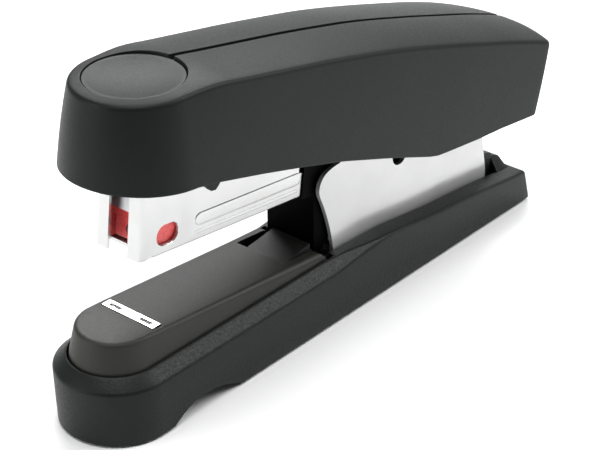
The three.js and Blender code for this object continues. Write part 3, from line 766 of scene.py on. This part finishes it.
def mag_top(u):
    return lerp(8.4, 6.0, clamp((u - MAGAZINE_FRONT) / (MAGAZINE_REAR - MAGAZINE_FRONT)))


def channel_plan(inset, radius, rear):
    """Plan outline of the bent sheet, round at its two front corners."""
    front, half = MAGAZINE_FRONT + inset, MAGAZINE_HALF - inset
    points = [(rear, half)]
    points += [(u, half) for u in (-80, -95, -110)]
    points += arc(front + radius, half - radius, radius, 90, 180, 8)
    points += arc(front + radius, -half + radius, radius, 180, 270, 8)
    points += [(u, -half) for u in (-110, -95, -80)]
    points += [(rear, -half)]
    return points


def channel_outside():
    """The outside of the channel, with its lower edges rolled by the bend."""
    plan = channel_plan(0.0, 1.35, MAGAZINE_REAR)
    bend = 0.55
    rows = []
    for k in range(4):
        a = math.pi / 2 * k / 3
        narrow = 1 - bend * (1 - math.sin(a)) / MAGAZINE_HALF
        low = MAGAZINE_BOTTOM + bend * (1 - math.cos(a))
        rows.append([mag(u, v * narrow, low) for u, v in plan])
    rows.append([mag(u, v, mag_top(u)) for u, v in plan])
    return mesh_of("channel_outer", rows, close_columns=True)


def channel_inside():
    """The room inside the sheet, run out past its open rear and its open top."""
    plan = channel_plan(0.75, 0.65, MAGAZINE_REAR + 2)
    levels = [MAGAZINE_BOTTOM + SHEET] * 4 + [30]
    return mesh_of("channel_inner", [[mag(u, v, w) for u, v in plan] for w in levels], close_columns=True)


def mag_box(name, u0, u1, v0, v1, w0, w1):
    corners = [(u0, v0), (u1, v0), (u1, v1), (u0, v1)]
    return mesh_of(name, [[mag(u, v, w) for u, v in corners] for w in (w0, w1)], close_columns=True)


def stadium(u, w, half_length, radius, steps=14):
    reach = half_length - radius
    return arc(u + reach, w, radius, -90, 90, steps) + arc(u - reach, w, radius, 90, 270, steps)


def bead(name, side, u, w, half_length, radius, levels):
    """A round-ended bead or hole across the sheet: levels are (distance from the middle, inset)."""
    rows = []
    for v, inset in levels:
        ring = stadium(u, w, half_length - inset, radius - inset)
        rows.append([mag(a, side * v, b) for a, b in ring])
    return mesh_of(name, rows, close_columns=True)


def make_magazine():
    low = MAGAZINE_BOTTOM
    cuts = [
        channel_inside(),
        mag_box("front_slot", -130, -110, -SLOT_HALF, SLOT_HALF, low + 1, 30),
        mag_box("exit", MAGAZINE_FRONT + SHEET, -119.2, -6.7, 6.7, low - 1, 0),
        mag_box("notch", -130, -120, -SLOT_HALF, SLOT_HALF, -20, 0),
    ]
    for side in (-1, 1):
        levels = [(9.0, -0.15), (7.52, -0.15), (7.36, 0.0), (6.0, 0.0)]
        cuts.append(bead("window", side, -114.5, -3.3, 3.65, 2.6, levels))
        cuts.append(mag_box("foot_step", -120.6, -118.9, side * 7.15, side * 8.5, low - 1, low + 0.7))
        cuts.append(mag_box("rear_notch", -67.2, -64, side * 6.0, side * 8.5, -1.4, 0.2))
    body = carve(channel_outside(), cuts)
    ribs = []
    for side in (-1, 1):
        levels = [(7.2, 0.0), (7.52, 0.0), (7.66, 0.08), (7.76, 0.3), (7.79, 0.6), (7.79, 1.2)]
        ribs.append(bead("rib", side, -85.8, -2.7, 19.3, 1.7, levels))
        low_levels = [(7.3, 0.0), (7.52, 0.0), (7.58, 0.14), (7.6, 0.4)]
        ribs.append(bead("crease", side, -86.2, -6.0, 18.9, 0.45, low_levels))
    body = carve(body, ribs, "UNION")
    piece("magazine_channel_bent", body, "magazine", "magazine_channel", "nickel", 0.1, 30)


# ---------------------------------------------------------------- carried-over pieces

CARRIED = {
    "base_cover": ("steel", 0.15),
    "cover_screw_1": ("turned_steel", 0.12),
    "cover_screw_2": ("turned_steel", 0.12),
    "foot_pad_front": ("rubber", 0.3),
    "foot_pad_mid_near": ("rubber", 0.3),
    "foot_pad_mid_far": ("rubber", 0.3),
    "foot_pad_rear_near": ("rubber", 0.3),
    "foot_pad_rear_far": ("rubber", 0.3),
    "frame_bracket": ("frame_nickel", 0.2),
    "bracket_cover": ("base_plastic", 0.5),
    "pivot_pin": ("turned_steel", 0.3),
    "retaining_ring_near": ("turned_steel", 0.12),
    "retaining_ring_far": ("turned_steel", 0.12),
    "arm_pin": ("turned_steel", 0.2),
    "arm_spring": ("turned_steel", 0.0),
    "lift_spring": ("turned_steel", 0.0),
    "anvil_plate": ("bright_plate", 0.12),
    "paper_stop": ("stop_black", 0.15),
    # The hub wears the painted-shade black: the shadow it stands in is painted into its colour.
    "magazine_hub": ("hub_black_painted_shade", 0.3),
    "staple_rail": ("steel", 0.15),
    "guide_rod": ("dark_steel", 0.15),
    "pusher_spring": ("turned_steel", 0.0),
    "pusher": ("red_plastic", 0.2),
    "handle_carrier": ("steel", 0.2),
    "driver_blade": ("steel", 0.08),
    "driver_rivet": ("turned_steel", 0.25),
    "return_leaf": ("steel", 0.1),
}


def smooth_group(degrees):
    """A node group that shades smooth, apart from edges sharper than the angle given."""
    group = bpy.data.node_groups.new("smooth_by_angle", "GeometryNodeTree")
    for way in ("INPUT", "OUTPUT"):
        group.interface.new_socket("Geometry", in_out=way, socket_type="NodeSocketGeometry")
    entry = group.nodes.new("NodeGroupInput")
    leave = group.nodes.new("NodeGroupOutput")
    faces = group.nodes.new("GeometryNodeSetShadeSmooth")
    faces.domain = "FACE"
    faces.inputs["Shade Smooth"].default_value = True
    edges = group.nodes.new("GeometryNodeSetShadeSmooth")
    edges.domain = "EDGE"
    edges.inputs["Shade Smooth"].default_value = False
    angle = group.nodes.new("GeometryNodeInputMeshEdgeAngle")
    sharper = group.nodes.new("ShaderNodeMath")
    sharper.operation = "GREATER_THAN"
    sharper.inputs[1].default_value = math.radians(degrees)
    link(group, angle.outputs["Unsigned Angle"], sharper.inputs[0])
    link(group, sharper.outputs[0], edges.inputs["Selection"])
    link(group, entry.outputs[0], faces.inputs["Geometry"])
    link(group, faces.outputs["Geometry"], edges.inputs["Geometry"])
    link(group, edges.outputs["Geometry"], leave.inputs[0])
    return group


def dress_carried():
    """Materials and modifiers only: the mesh of a CAD node is left as it is."""
    group = smooth_group(32)
    for name, (finish, width) in CARRIED.items():
        obj = nodes[name]
        for slot in obj.material_slots:
            slot.material = MATERIALS[finish]
        modifier = obj.modifiers.new("smooth", "NODES")
        modifier.node_group = group
        if width:
            soften(obj, width)


make_camera()
make_studio()
make_handle()
make_base()
make_arm()
make_magazine()
dress_carried()
